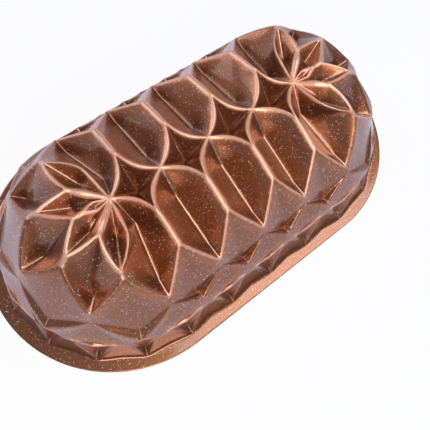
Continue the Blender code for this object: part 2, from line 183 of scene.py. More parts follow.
class PanSizes(PropertyGroup):
    """Sizes of the cast shell."""
    pitch: length_setting("Pitch", 0.0325, "From one almond pit to the next")
    end_radius: length_setting("End radius", 0.085, "Outer edge of the flange, round each end")
    height: length_setting("Height", 0.084, "Height that the relief's shares refer to")
    wall: length_setting("Wall", 0.0035, "Thickness of the wall")
    flange_width: length_setting("Flange width", 0.0065, "From the foot of the wall to the edge")
    flange_thickness: length_setting("Flange thickness", 0.003, "Thickness of the flange")
    hub_inset: length_setting("Hub inset", 0.001, "The rosette's hub sits this much inward")
    tip_splay: length_setting("Tip splay", 0.0025, "Lean of the last almond's tip")
    toe_splay: length_setting("Toe splay", 0.0036, "Lean of the toe below the last tip")
    foot_splay: length_setting("Foot splay", 0.0015, "Lean of the last pit's low end")
    pit_inset: length_setting("Pit inset", 0.005, "The last pit's head keeps clear of the petals")
    arc_swell: length_setting("Arc swell", 0.0036, "Bow of an almond's head arc")
    leg_swell: length_setting("Leg swell", 0.0005, "Bow of an almond's lower side")
    end_leg_swell: length_setting("End leg swell", 0.0014, "The same for the legs round the end")
    heel_swell: length_setting("Heel swell", 0.0016, "Bow of the arcs from toe to heel")
    petal_swell: length_setting("Petal swell", 0.0020, "Bow of an outer petal's side")
    inner_petal_swell: length_setting("Inner petal swell", 0.0008, "Bow of an inner petal's side")
    dome_swell: length_setting("Dome swell", 0.0006, "Rise of the long ridges between their ends")
    ridge_round: length_setting("Ridge rounding", 0.0011, "Softness of the worn ridges")
    crease_round: length_setting("Crease rounding", 0.00045, "Softness of the valley creases")
    face_round: length_setting("Face rounding", 0.0055, "Softness where two faces run together")
    wear_width: length_setting("Wear width", 0.0016, "Half the width of the worn ridges")
    # Half the width of the painted highlights along the valley creases.
    crease_glint_width: length_setting("Vein width", 0.0003, "Half the width of the pale valley creases")
    # The warm colour beside the ridges is partly the thinner coat and partly a painted glow of the
    # pits.
    flank_glow_reach: length_setting("Flank reach", 0.0058, "How far the warm colour reaches")
    steps: IntProperty(name="Steps", description="Cuts along each side of a patch", default=16,
                       min=2)


class CoatingLook(PropertyGroup):
    """Colours and texture of the coating."""
    body: color_setting("Body", (0.30, 0.102, 0.030), "Colour of the coating")
    # Warm colour beside the ridges: partly the coating's own tone, partly a painted glow of the
    # pits.
    flank_and_glow: color_setting("Flank", (0.47, 0.16, 0.055), "Warm colour beside the ridges")
    # Also the colour of the painted highlights along the valley creases.
    ridge: color_setting("Ridge", (0.82, 0.41, 0.23), "Copper colour of the worn ridges")
    speckle: color_setting("Speckle", (0.92, 0.80, 0.78), "Colour of the fine speckles")
    speckle_cell: length_setting("Speckle spacing", 0.0011, "Mean distance between speckles")
    gloss: share_setting("Roughness", 0.33, "Roughness of the coating")


class StageLook(PropertyGroup):
    """Floor, lamps and world."""
    floor: color_setting("Floor", (0.80, 0.79, 0.80), "Colour of the floor")
    floor_white: share_setting("Floor white", 0.9, "Share of plain white in the floor as seen")
    floor_mirrored: share_setting("Floor mirrored", 0.4, "The same, as the coating mirrors it")
    air: color_setting("Air", (0.76, 0.76, 1.0), "Colour of the ambient light")
    world: FloatProperty(name="World", description="Strength of the ambient light", default=0.34,
                         min=0)
    key: power_setting("Key", 5, "Power of the large soft lamp")
    front: power_setting("Front", 4.2, "Power of the lamp in front")
    rim: power_setting("Rim", 3, "Power of the lamp behind")


class ControlNet:
    """Corner points, patches and ridge bulges of one quarter of the relief."""

    def __init__(self, sizes):
        self.sizes = sizes
        self.straight_half = HUB_STATION * sizes.pitch
        self.foot_radius = sizes.end_radius - sizes.flange_width
        self.points = {}
        self.add_almonds()
        self.add_rosette()
        self.add_skirt()
        self.patches = self.quarter_patches()
        self.bulges = self.ridge_bulges()

    def along(self, station, radius_share, height_share):
        """A point at a station of the rim: beside the straight side, or round the end."""
        radius = radius_share * self.foot_radius
        height = height_share * self.sizes.height
        if station <= HUB_STATION:
            return np.array([station * self.sizes.pitch, radius, height])
        angle = math.radians(90) - (station - HUB_STATION) * STATION_TURN
        outward = np.array([math.cos(angle), math.sin(angle), 0])
        return np.array([self.straight_half, 0, height]) + radius * outward

    def round_hub(self, degrees, radius_share, height_share):
        """A point of the rosette, by its angle from the long axis."""
        station = HUB_STATION + (math.radians(90) - math.radians(degrees)) / STATION_TURN
        return self.along(station, radius_share, height_share)

    def add_almonds(self):
        points, sizes = self.points, self.sizes
        for station in range(HUB_STATION + 1):
            last = station == HUB_STATION
            places = {"crossing": HUB_SHARES if last else CROSSING_SHARES,
                      "pit head": LAST_HEAD_SHARES if last else PIT_HEAD_SHARES,
                      "pit foot": PIT_FOOT_SHARES, "tip": TIP_SHARES,
                      "toe": END_TOE_SHARES if last else TOE_SHARES}
            for name, shares in places.items():
                points[name, station] = self.along(station, *shares)
        splays = {"crossing": -sizes.hub_inset, "pit head": -sizes.pit_inset,
                  "pit foot": sizes.foot_splay, "tip": sizes.tip_splay, "toe": sizes.toe_splay}
        for name, splay in splays.items():
            points[name, HUB_STATION] += [splay, 0, 0]
        for station in range(HUB_STATION):
            between = station + 0.5
            middle = (points["toe", station][0] + points["toe", station + 1][0]) / 2 / sizes.pitch
            for name, place, shares in (
                    ("diamond", between, DIAMOND_SHARES),
                    ("crest head", between, CREST_HEAD_SHARES),
                    ("crest foot", between, CREST_FOOT_SHARES),
                    ("heel", middle, HEEL_SHARES), ("scoop", middle, SCOOP_SHARES)):
                points[name, between] = self.along(place, *shares)

    def add_rosette(self):
        points = self.points
        outer, inner = HUB_STATION + 1, HUB_STATION + 3
        places = {
            "outer petal": OUTER_PETAL_SHARES, "outer stem": OUTER_STEM_SHARES,
            "outer side": OUTER_SIDE_SHARES, "outer floor": OUTER_FLOOR_SHARES,
            "inner petal": INNER_PETAL_SHARES, "inner stem": INNER_STEM_SHARES,
            "inner floor": INNER_FLOOR_SHARES, "side web": SIDE_WEB_SHARES,
            "outer web": OUTER_WEB_SHARES, "inner web": INNER_WEB_SHARES,
            "leaf side": LEAF_SIDE_SHARES, "leaf tip": LEAF_TIP_SHARES,
            "leaf floor": LEAF_FLOOR_SHARES, "end web": END_WEB_SHARES,
            "side kite floor": SIDE_KITE_FLOOR_SHARES, "side kite bend": SIDE_KITE_BEND_SHARES,
            "end kite floor": END_KITE_FLOOR_SHARES, ("tip", outer + 1): SIDE_KITE_TIP_SHARES,
            ("tip", inner + 1): END_KITE_TIP_SHARES,
        }
        for name, shares in places.items():
            points[name] = self.round_hub(*shares)
        for station in (outer, inner):
            points["heel", station] = self.along(station, *END_HEEL_SHARES)
            points["scoop", station] = self.along(station, *END_SCOOP_SHARES)
            points["toe", station + 1] = self.along(station + 1, *END_TOE_SHARES)

    def add_skirt(self):
        points = self.points
        low_share = self.sizes.flange_thickness / self.sizes.height
        for station in range(LAST_STATION + 1):
            points["foot out", station] = self.along(station, FOOT_OUT_SHARE, low_share)
            points["foot in", station + 0.5] = self.along(station + 0.5, FOOT_IN_SHARE, low_share)
            points["dart back", station] = self.along(station, *DART_BACK_SHARES)
            left, right = self.dart_halves(station)
            points["dart left", station] = self.along(station - left, *DART_SIDE_SHARES)
            points["dart right", station] = self.along(station + right, *DART_SIDE_SHARES)
            if station not in END_HEELS:
                points["dart top", station] = self.along(station, *DART_TOP_SHARES)
                points["dart lip", station] = self.along(station, *DART_LIP_SHARES)

    @staticmethod
    def dart_halves(station):
        """How far a dart reaches to either side, as shares of a station."""
        if station in END_HEELS:
            return HEEL_DART_HALF_SHARE, HEEL_DART_HALF_SHARE
        if station < HUB_STATION:
            return DART_HALF_SHARE, DART_HALF_SHARE
        if station == HUB_STATION:
            return DART_HALF_SHARE, END_DART_HALF_SHARE
        return END_DART_HALF_SHARE, END_DART_HALF_SHARE

    @staticmethod
    def dart_top(station):
        """The top corner of a dart, which under a heel of the end is that heel."""
        return ("heel", station) if station in END_HEELS else ("dart top", station)

    @staticmethod
    def neighbour(station, side):
        """The station of the tip beside a heel."""
        return int(station + side / 2) if station < HUB_STATION else station + side

    @staticmethod
    def almond_half(station, side):
        crossing, head = ("crossing", station), ("crest head", station + side / 2)
        crest, tip = ("crest foot", station + side / 2), ("tip", station)
        pit_head, pit_foot = ("pit head", station), ("pit foot", station)
        return [(crossing, pit_head, head), (head, pit_head, crest),
                (pit_head, pit_foot, crest), (crest, pit_foot, tip)]

    def side_face(self, top, station):
        heel, scoop = ("heel", station), ("scoop", station)
        patches = []
        for side in (-1, 1):
            beside = self.neighbour(station, side)
            tip, toe = ("tip", beside), ("toe", beside)
            patches += [(top, tip, scoop), (tip, toe, scoop), (toe, heel, scoop)]
        return patches

    def band_above_darts(self, station, side):
        toe = ("toe", station)
        near = ("dart right", station) if side > 0 else ("dart left", station)
        far = ("dart left", station + side) if side > 0 else ("dart right", station + side)
        patches = [(toe, near, self.dart_top(station))]
        if station + side in END_HEELS:
            return patches + [(toe, near, far), (toe, ("heel", station + side), far)]
        heel = ("heel", station + side / 2)
        patches.append((toe, heel, near))
        if side > 0:
            patches.append((heel, near, far))
        return patches

    @staticmethod
    def skirt(station):
        right, left = ("dart right", station), ("dart left", station + 1)
        foot_in = ("foot in", station + 0.5)
        return [(right, left, foot_in), (right, foot_in, ("foot out", station)),
                (left, foot_in, ("foot out", station + 1))]

    def dart_half(self, station, side_name):
        corner, back = (side_name, station), ("dart back", station)
        floor = (corner, back, ("foot out", station))
        if station in END_HEELS:
            return [(corner, ("heel", station), back), floor]
        lip = ("dart lip", station)
        return [(corner, ("dart top", station), lip), (corner, lip, back), floor]

    @staticmethod
    def rosette():
        hub, end = ("crossing", HUB_STATION), HUB_STATION + 4
        pit_head, pit_foot, tip = (("pit head", HUB_STATION), ("pit foot", HUB_STATION),
                                   ("tip", HUB_STATION))
        side_tip, end_tip = ("tip", HUB_STATION + 2), ("tip", end)
        patches = [(hub, pit_head, "outer side"), ("outer side", pit_head, "outer petal"),
                   (pit_head, pit_foot, "outer petal"), ("outer petal", pit_foot, "outer stem"),
                   ("outer stem", pit_foot, tip)]
        outline = [hub, "outer side", "outer petal", "side web", "outer web", hub]
        patches += [(a, b, "outer floor") for a, b in zip(outline, outline[1:])]
        outline = [hub, "inner web", "side web", "inner petal", "end web", "leaf tip", "leaf side",
                   hub]
        patches += [(a, b, "inner floor") for a, b in zip(outline, outline[1:])]
        patches += [(hub, "outer web", "inner web"), ("outer web", "side web", "inner web"),
                    (hub, "leaf side", "leaf floor"), ("leaf side", "leaf tip", "leaf floor")]
        bend, floor = "side kite bend", "side kite floor"
        patches += [("side web", "outer petal", bend), ("outer petal", "outer stem", bend),
                    ("outer stem", floor, bend), ("outer stem", side_tip, floor),
                    (side_tip, "inner stem", floor), ("inner stem", bend, floor),
                    ("inner stem", "inner petal", bend), ("inner petal", "side web", bend)]
        patches += [("end web", "inner petal", "end kite floor"),
                    ("inner petal", "inner stem", "end kite floor"),
                    ("inner stem", end_tip, "end kite floor")]
        return patches

    def quarter_patches(self):
        patches = []
        for station in range(HUB_STATION):
            between = station + 0.5
            patches += self.almond_half(station, 1) + self.almond_half(station + 1, -1)
            patches += self.side_face(("crest foot", between), between)
            head, diamond = ("crest head", between), ("diamond", between)
            patches += [(("crossing", lens), head, diamond) for lens in (station, station + 1)]
        patches += self.side_face("outer stem", HUB_STATION + 1)
        patches += self.side_face("inner stem", HUB_STATION + 3)
        for station in (0, 1, 2, 4, 6):
            for side in (-1, 1):
                if 0 <= station + side <= LAST_STATION:
                    patches += self.band_above_darts(station, side)
        for station in range(LAST_STATION):
            patches += self.skirt(station) + self.dart_half(station, "dart right")
            patches += self.dart_half(station + 1, "dart left")
        patches += self.rosette()
        return [self.facing_up(names) for names in patches]

    def facing_up(self, names):
        """The corners in the order that turns the patch outward: every face tapers upward."""
        a, b, c = (self.points[name] for name in names)
        return names if np.cross(b - a, c - a)[2] > 0 else names[::-1]

    def ridge_bulges(self):
        """How far the middle of each curved ridge stands off its chord."""
        points, sizes = self.points, self.sizes

        def off_chord(a, b, swell, lift, towards):
            chord = points[b] - points[a]
            across = np.array([chord[1], -chord[0], 0])
            across /= np.linalg.norm(across)
            if across @ (points[towards] - points[a]) < 0:
                across = -across
            return frozenset((a, b)), across * swell + np.array([0, 0, lift])

        curves = []
        for station in range(HUB_STATION):
            between = station + 0.5
            head, crest = ("crest head", between), ("crest foot", between)
            for lens in (station, station + 1):
                curves += [(("crossing", lens), head, sizes.arc_swell, sizes.dome_swell,
                            ("diamond", between)),
                           (crest, ("tip", lens), sizes.leg_swell, 0, ("heel", between))]
            curves.append((head, crest, 0, sizes.dome_swell, ("tip", station)))
        last_pit = ("pit head", HUB_STATION)
        for start, petal, swell, towards in (
                ("side web", "outer petal", sizes.petal_swell, "side kite bend"),
                ("outer side", "outer petal", sizes.petal_swell, last_pit),
                ("side web", "inner petal", sizes.inner_petal_swell, "side kite bend"),
                ("end web", "inner petal", sizes.inner_petal_swell, "end kite floor")):
            curves.append((start, petal, swell, sizes.dome_swell, towards))
        for station, stem in zip(END_HEELS, ("outer stem", "inner stem")):
            heel, below = ("heel", station), ("foot out", station)
            for side in (-1, 1):
                tip, toe = ("tip", station + side), ("toe", station + side)
                curves += [(stem, tip, sizes.end_leg_swell, sizes.dome_swell, heel),
                           (toe, heel, sizes.heel_swell, 0, below)]
        return dict(off_chord(*curve) for curve in curves)

    def edge_line(self, a, b):
        """Points along the edge between two corners."""
        share = np.linspace(0, 1, LINE_CUTS + 1)[:, None]
        bulge = self.bulges.get(frozenset((a, b)), np.zeros(3))
        chord = self.points[a] * (1 - share) + self.points[b] * share
        return chord + share * (1 - share) / HALFWAY_SHARE * bulge

    def edges(self):
        """Each edge with its fold: positive on a ridge, negative in a valley, in degrees."""
        sides = {}
        for names in self.patches:
            a, b, c = (self.points[name] for name in names)
            normal = np.cross(b - a, c - a)
            normal /= np.linalg.norm(normal)
            for k in range(3):
                key = frozenset((names[k], names[k - 2]))
                sides.setdefault(key, []).append((normal, self.points[names[k - 1]]))
        folds = {}
        for key, faces in sides.items():
            if len(faces) == 1:
                ends = np.abs([self.points[name] for name in key])
                flip = np.where(ends.max(0) < MIDDLE_TOLERANCE, -1, 1)
                if flip.min() > 0:
                    continue
                faces = faces + [(faces[0][0] * flip, faces[0][1] * flip)]
            (first, unused), (second, far) = faces
            near = self.points[next(iter(key))]
            turn = math.degrees(math.acos(np.clip(first @ second, -1, 1)))
            folds[key] = turn if (far - near) @ first < 0 else -turn
        return folds


def patch_rows(steps):
    """Places in a patch by row, and the triangles between them."""
    place = {}
    for i in range(steps + 1):
        for j in range(steps + 1 - i):
            place[i, j] = len(place)
    triangles = []
    for i in range(steps):
        for j in range(steps - i):
            triangles.append(((i, j), (i + 1, j), (i, j + 1)))
            if i + j < steps - 1:
                triangles.append(((i + 1, j), (i + 1, j + 1), (i, j + 1)))
    return place, triangles


def relief(net):
    """The fine outer relief of the quarter, its triangles, and coarser ones for the inside."""
    steps = net.sizes.steps // 2 * 2
    place, rows = patch_rows(steps)
    share = np.array([(steps - i - j, i, j) for i, j in place]) / steps
    weights = share ** GRADING
    weights /= weights.sum(1)[:, None]
    fine = np.array([[place[corner] for corner in row] for row in rows])
    unused, rows = patch_rows(steps // 2)
    coarse = np.array([[place[i * 2, j * 2] for i, j in row] for row in rows])
    points = []
    for names in net.patches:
        grid = weights @ np.array([net.points[name] for name in names])
        for first, second in ((0, 1), (1, 2), (2, 0)):
            key = frozenset((names[first], names[second]))
            if key in net.bulges:
                both = (weights[:, first] * weights[:, second])[:, None]
                grid += both / HALFWAY_SHARE * net.bulges[key]
        points.append(grid)
    offsets = (np.arange(len(points)) * len(weights))[:, None, None]
    points = np.vstack(points)
    keys = np.round(points * JOIN_GRID).astype(np.int64)
    unused, first, index = np.unique(keys, axis=0, return_index=True, return_inverse=True)
    index = index.reshape(-1)
    fine, coarse = (index[(rows + offsets).reshape(-1, 3)] for rows in (fine, coarse))
    return points[first], fine, coarse


def outward_step(net, vertices):
    """Unit direction straight out of the oval, level with the mouth."""
    steps = vertices.copy()
    steps[:, 0] = np.maximum(steps[:, 0] - net.straight_half, 0)
    steps[:, 2] = 0
    return steps / np.linalg.norm(steps, axis=1)[:, None]


def foot_line(net, vertices):
    """The points where the wall meets the flange, in order from the middle to the end."""
    low = np.flatnonzero(vertices[:, 2] < net.sizes.flange_thickness + FOOT_TOLERANCE)
    steps = outward_step(net, vertices[low])
    return low[np.lexsort((steps[:, 0], np.minimum(vertices[low, 0], net.straight_half)))]


def segment_distance(points, start, end):
    """Distance from each point to one segment."""
    along = end - start
    share = np.clip(((points - start) @ along) / (along @ along), 0, 1)
    return np.linalg.norm(points - start - share[:, None] * along, axis=1)


def edge_distance(net, points, a, b):
    """Distance from each point to the edge between two corners of the net."""
    line = net.edge_line(a, b)
    best = np.full(len(points), np.inf)
    for start, end in zip(line, line[1:]):
        best = np.minimum(best, segment_distance(points, start, end))
    return best


class HeatMesh:
    """A triangle mesh that can be eased by letting its shape spread like heat."""

    def __init__(self, vertices, faces):
        self.vertices, self.faces = vertices, faces
        corner = [vertices[faces[:, k]] for k in range(3)]
        area = np.linalg.norm(np.cross(corner[1] - corner[0], corner[2] - corner[0]), axis=1)
        self.mass = np.zeros(len(vertices))
        rows, columns, self.cotangents = [], [], []
        for k in range(3):
            first, second = faces[:, k - 2], faces[:, k - 1]
            left, right = corner[k - 2] - corner[k], corner[k - 1] - corner[k]
            self.cotangents.append((left * right).sum(1) / np.maximum(area, LEAST_AREA) / 2)
            rows.append(first)
            columns.append(second)
            self.mass += np.bincount(faces[:, k], area / 6, len(vertices))
        self.first, self.second = np.concatenate(rows), np.concatenate(columns)

    def eased(self, values, spread, held=None):
        """Values after spreading by a width per face; held points keep theirs."""
        weight = np.concatenate(self.cotangents) * np.tile(spread ** 2 / 2, 3)
        count = len(self.vertices)
        source = np.concatenate([self.first, self.second])
        target = np.concatenate([self.second, self.first])
        order = np.argsort(source, kind="stable")
        source, target = source[order], target[order]
        weight = np.concatenate([weight, weight])[order]
        starts = np.searchsorted(source, np.arange(count))
        diagonal = self.mass + np.add.reduceat(weight, starts)
        free = np.ones(count, bool)
        if held is not None:
            free[held] = False

        def apply(x):
            return diagonal[:, None] * x - np.add.reduceat(weight[:, None] * x[target], starts)

        x = values.copy()
        residual = (self.mass[:, None] * values - apply(x)) * free[:, None]
        step = residual / diagonal[:, None]
        direction = step.copy()
        energy = (residual * step).sum(0)
        goal = energy * SOLVER_GOAL + LEAST_ENERGY
        for unused in range(SOLVER_ROUNDS):
            image = apply(direction) * free[:, None]
            share = energy / np.maximum((direction * image).sum(0), LEAST_IMAGE)
            x = x + share * direction
            residual = residual - share * image
            step = residual / diagonal[:, None]
            fresh = (residual * step).sum(0)
            if (fresh < goal).all():
                break
            direction = step + fresh / np.maximum(energy, LEAST_IMAGE) * direction
            energy = fresh
        return x

    def normals(self, vertices):
        """The facing of each point, of unit length, from the faces round it by their area."""
        corner = [vertices[self.faces[:, k]] for k in range(3)]
        across = np.cross(corner[1] - corner[0], corner[2] - corner[0])
        normals = np.zeros_like(vertices)
        for k in range(3):
            for axis in range(3):
                normals[:, axis] += np.bincount(self.faces[:, k], across[:, axis], len(vertices))
        return normals / np.linalg.norm(normals, axis=1)[:, None]


# Corners whose edges to the corners listed don't crease.
SOFT_FOLDS = {
    "toe": ("dart left", "dart right", "dart top"),
    "dart lip": ("dart top", "dart back"),
    "pit head": ("crest head", "crest foot", "outer petal", "outer side"),
    "pit foot": ("crest foot", "outer petal", "outer stem"),
    "outer floor": ("crossing", "outer side", "side web", "outer web"),
    "inner floor": ("crossing", "inner web", "side web", "end web", "leaf tip", "leaf side"),
    "leaf floor": ("leaf side",),
    "scoop": ("crest foot", "outer stem", "inner stem", "tip"),
    "side kite bend": ("outer petal", "outer stem", "inner stem", "inner petal"),
    "side kite floor": ("outer stem", "inner stem"),
    "end kite floor": ("inner petal", "inner stem"),
}


def kind(name):
    """The part of a corner's name that doesn't count along the rim."""
    return name if isinstance(name, str) else name[0]


def is_soft(a, b):
    """True where two patches run into each other without a crease."""
    return kind(b) in SOFT_FOLDS.get(kind(a), ()) or kind(a) in SOFT_FOLDS.get(kind(b), ())


# For each kind of ridge: how far it is rubbed to copper, how warm the coating is beside it, partly
# its own tone and partly a painted glow of the pits, and how wide its wear is.
WORN_RIDGES = {
    ("crossing", "crest head"): (1, 1, 1.45), ("crest head", "crest foot"): (1, 1, 1.5),
    ("crest foot", "tip"): (0.8, 0.8, 0.6), ("outer stem", "outer petal"): (0.8, 0.8, 1),
    ("outer petal", "outer side"): (1, 1, 1), ("crossing", "outer side"): (1, 1, 1),
    ("outer petal", "side web"): (1, 1, 1), ("inner petal", "side web"): (1, 1, 1),
    ("end web", "inner petal"): (0.9, 0.9, 1), ("inner petal", "inner stem"): (0.8, 0.8, 1),
    ("crossing", "outer web"): (1, 1, 1.3), ("crossing", "inner web"): (1, 1, 1.3),
    ("outer web", "side web"): (1, 1, 1.3), ("inner web", "side web"): (1, 1, 1.3),
    ("end web", "leaf tip"): (1, 1, 1), ("leaf side", "leaf tip"): (1, 1, 1),
    ("crossing", "leaf side"): (1, 1, 1), ("outer stem", "tip"): (0.55, 0.8, 0.6),
    ("inner stem", "tip"): (0.35, 0.6, 0.5), ("tip", "toe"): (0, 0.2, 1),
    ("heel", "toe"): (0.15, 0.5, 0.5),
    ("dart left", "dart lip"): (0.7, 0.9, 1), ("dart right", "dart lip"): (0.7, 0.9, 1),
    ("dart left", "foot out"): (0.3, 0.3, 0.4), ("dart right", "foot out"): (0.3, 0.3, 0.4),
}
# How strongly each kind of valley crease shows a painted highlight, a pale line in the copper
# colour.
CREASE_GLINT_SHARES = {
    ("crossing", "pit head"): 0.8, ("pit head", "pit foot"): 1.0, ("pit foot", "tip"): 1.0,
    ("crossing", "diamond"): 0.45, ("crest head", "diamond"): 0.45,
    ("crossing", "outer floor"): 0.8,
    ("outer floor", "outer petal"): 1.0, ("inner floor", "inner petal"): 1.0,
    ("crossing", "inner floor"): 0.8, ("leaf floor", "leaf tip"): 0.8,
    ("crossing", "leaf floor"): 0.6,
    ("side kite floor", "tip"): 0.9, ("end kite floor", "tip"): 0.9,
    ("side kite bend", "side kite floor"): 0.4, ("heel", "scoop"): 0.9,
    ("dart back", "foot out"): 0.9,
}


def of_kind(table, kinds, default):
    """What a table says of an edge, whichever way round its corners are named."""
    return table.get(kinds, table.get(kinds[::-1], default))


def surface_fields(net, points):
    """For each point: how far its faces spread, its wear on the ridges with painted highlights in
    the valley creases, and its warm flank, which is partly a painted glow of the pits.
    """
    sizes = net.sizes
    spread = np.full(len(points), sizes.face_round)
    wear_and_glint, flank_and_glow = np.zeros(len(points)), np.zeros(len(points))
    for (a, b), fold in ((tuple(key), fold) for key, fold in net.edges().items()):
        if is_soft(a, b) or abs(fold) < LEAST_FOLD:
            continue
        distance = edge_distance(net, points, a, b)
        kinds = (kind(a), kind(b))
        crisp = fold < 0 or "dart lip" in kinds
        own = sizes.crease_round if crisp else sizes.ridge_round
        spread = np.minimum(spread, own + SPREAD_SLOPE * distance)
        rub, warm, wide = of_kind(WORN_RIDGES, kinds, (0, 0, 1))
        # A valley crease gets a painted highlight, carried in the same field as the rubbed copper.
        glint = CREASE_GLINT_SHARE * of_kind(CREASE_GLINT_SHARES, kinds, 0)
        if fold < 0 and glint > 0:
            wear_and_glint = np.maximum(wear_and_glint, glint * np.exp(-(distance / sizes.crease_glint_width) ** 2))
        # Beside a ridge: rubbed copper, and a warm tone that is partly a painted glow of the pits.
        if fold > 0 and warm > 0:
            wear_and_glint = np.maximum(wear_and_glint, rub * np.exp(-(distance / (sizes.wear_width * wide)) ** 2))
            flank_and_glow = np.maximum(flank_and_glow, warm * np.exp(-(distance / sizes.flank_glow_reach) ** 1.5))
    return spread, wear_and_glint, flank_and_glow


def flange_rings(net, line):
    """Rings of points over the flange: out along its top, round its edge and back underneath."""
    sizes = net.sizes
    steps = outward_step(net, line)
    spine = line.copy()
    spine[:, 0] = np.minimum(spine[:, 0], net.straight_half)
    spine[:, 1:] = 0
    edge = spine + steps * sizes.end_radius
    top = edge + [0, 0, sizes.flange_thickness]
    rings = [line + (top - line) * share for share in FLANGE_TOP_SHARES]
    rings += [edge + [0, 0, sizes.flange_thickness * share] for share in FLANGE_EDGE_SHARES]
    mouth = line - steps * sizes.wall
    mouth[:, 2] = 0
    return rings + [edge + (mouth - edge) * share for share in FLANGE_UNDER_SHARES]


def symmetric_eased(mesh, values, spread, held):
    """Ease a vector field whose mirror images continue it across both middle planes."""
    eased = []
    for axis in range(3):
        fixed = held
        if axis < 2:
            middle = np.flatnonzero(np.abs(mesh.vertices[:, axis]) < MIDDLE_TOLERANCE)
            fixed = np.union1d(held, middle)
        eased.append(mesh.eased(values[:, axis:axis + 1], spread, fixed.astype(int)))
    return np.hstack(eased)


def strip(upper, lower):
    """Triangles between two rings of the same length."""
    faces = []
    for k in range(len(upper) - 1):
        faces += [(upper[k], upper[k + 1], lower[k + 1]), (upper[k], lower[k + 1], lower[k])]
    return faces


def quarter_shell(net):
    """The quarter of the shell: points, triangles, wear with painted crease highlights, and the
    warm flank with its painted glow.
    """
    points, faces, coarse = relief(net)
    count = len(points)
    mouth = foot_line(net, points)
    rings = flange_rings(net, points[mouth])
    starts = [count + ring * len(mouth) + np.arange(len(mouth)) for ring in range(len(rings))]
    strips = []
    for upper, lower in zip([mouth] + starts, starts):
        strips += strip(upper, lower)
    outer = HeatMesh(np.vstack([points] + rings), np.vstack([faces, np.array(strips)]))
    spread, wear_and_glint, flank_and_glow = surface_fields(net, points)
    corners = points[mouth][::net.sizes.steps // 2 * 2]
    foot = np.min([segment_distance(points, a, b) for a, b in zip(corners, corners[1:])], axis=0)
    spread = np.minimum(spread, FOOT_ROUND + SPREAD_SLOPE * foot)
    ring_wear = np.repeat(FLANGE_WEAR_SHARES, len(mouth))
    spread = np.concatenate([spread, np.full(len(ring_wear), FLANGE_ROUND)])
    wear_and_glint = np.concatenate([wear_and_glint, ring_wear])
    flank_and_glow = np.concatenate([flank_and_glow, ring_wear])
    shaped = symmetric_eased(outer, outer.vertices, spread[outer.faces].mean(1), starts[-1])
    inside, inner_faces = inside_shell(net, shaped[:count], faces, coarse, mouth)
    lift = len(shaped)
    vertices = np.vstack([shaped, inside])
    faces = np.vstack([outer.faces, inner_faces[:, ::-1] + lift])
    none = np.zeros(len(inside))
    return vertices, faces, np.concatenate([wear_and_glint, none]), np.concatenate([flank_and_glow, none])


def inside_shell(net, shaped, faces, coarse, mouth):
    """The inside: the outer relief eased, one wall further in, on every second point."""
    mesh = HeatMesh(shaped, faces)
    normals = mesh.normals(shaped)
    normals[mouth] = outward_step(net, shaped[mouth])
    broad = symmetric_eased(mesh, normals, np.full(len(faces), FACING_REACH), mouth)
    broad /= np.linalg.norm(broad, axis=1)[:, None]
    calm = symmetric_eased(mesh, shaped, np.full(len(faces), INSIDE_ROUND), mouth)
    inside = calm - broad * net.sizes.wall
    inside[mouth, 2] = 0
    used = np.unique(coarse)
    index = np.full(len(shaped), -1)
    index[used] = np.arange(len(used))
    return inside[used], index[coarse]


def mirrored(vertices, faces, fields):
    """The whole shell from its quarter, joined along both middle planes."""
    all_points, all_faces = [], []
    for flip_x in (1, -1):
        for flip_y in (1, -1):
            turned = faces if flip_x * flip_y > 0 else faces[:, ::-1]
            all_faces.append(turned + len(all_points) * len(vertices))
            all_points.append(vertices * [flip_x, flip_y, 1])
    points = np.vstack(all_points)
    keys = np.round(points * MIRROR_GRID).astype(np.int64)
    unused, first, index = np.unique(keys, axis=0, return_index=True, return_inverse=True)
    faces = index.reshape(-1)[np.vstack(all_faces)]
    kept = (faces != np.roll(faces, 1, axis=1)).all(axis=1)
    return points[first], faces[kept], [np.tile(field, 4)[first] for field in fields]


def shell_object(sizes):
    """The pan as a mesh object with its fields of wear and painted crease highlights, and of warm
    flank and painted glow.
    """
    points, faces, wear_and_glint, flank_and_glow = quarter_shell(ControlNet(sizes))
    points, faces, fields = mirrored(points, faces, (wear_and_glint, flank_and_glow))
    mesh = bpy.data.meshes.new("pan_shell")
    mesh.vertices.add(len(points))
    mesh.vertices.foreach_set("co", points.ravel())
    mesh.loops.add(faces.size)
    mesh.loops.foreach_set("vertex_index", faces.ravel().astype(np.int32))
    mesh.polygons.add(len(faces))
    mesh.polygons.foreach_set("loop_start", np.arange(0, faces.size, 3, dtype=np.int32))
    mesh.update(calc_edges=True)
    mesh.validate()
    mesh.shade_smooth()
    for name, field in zip(("wear_and_glint", "flank_and_glow"), fields):
        mesh.attributes.new(name, "FLOAT", "POINT").data.foreach_set("value", field)
    shell = bpy.data.objects.new("pan_shell", mesh)
    bpy.context.scene.collection.objects.link(shell)
    return shell


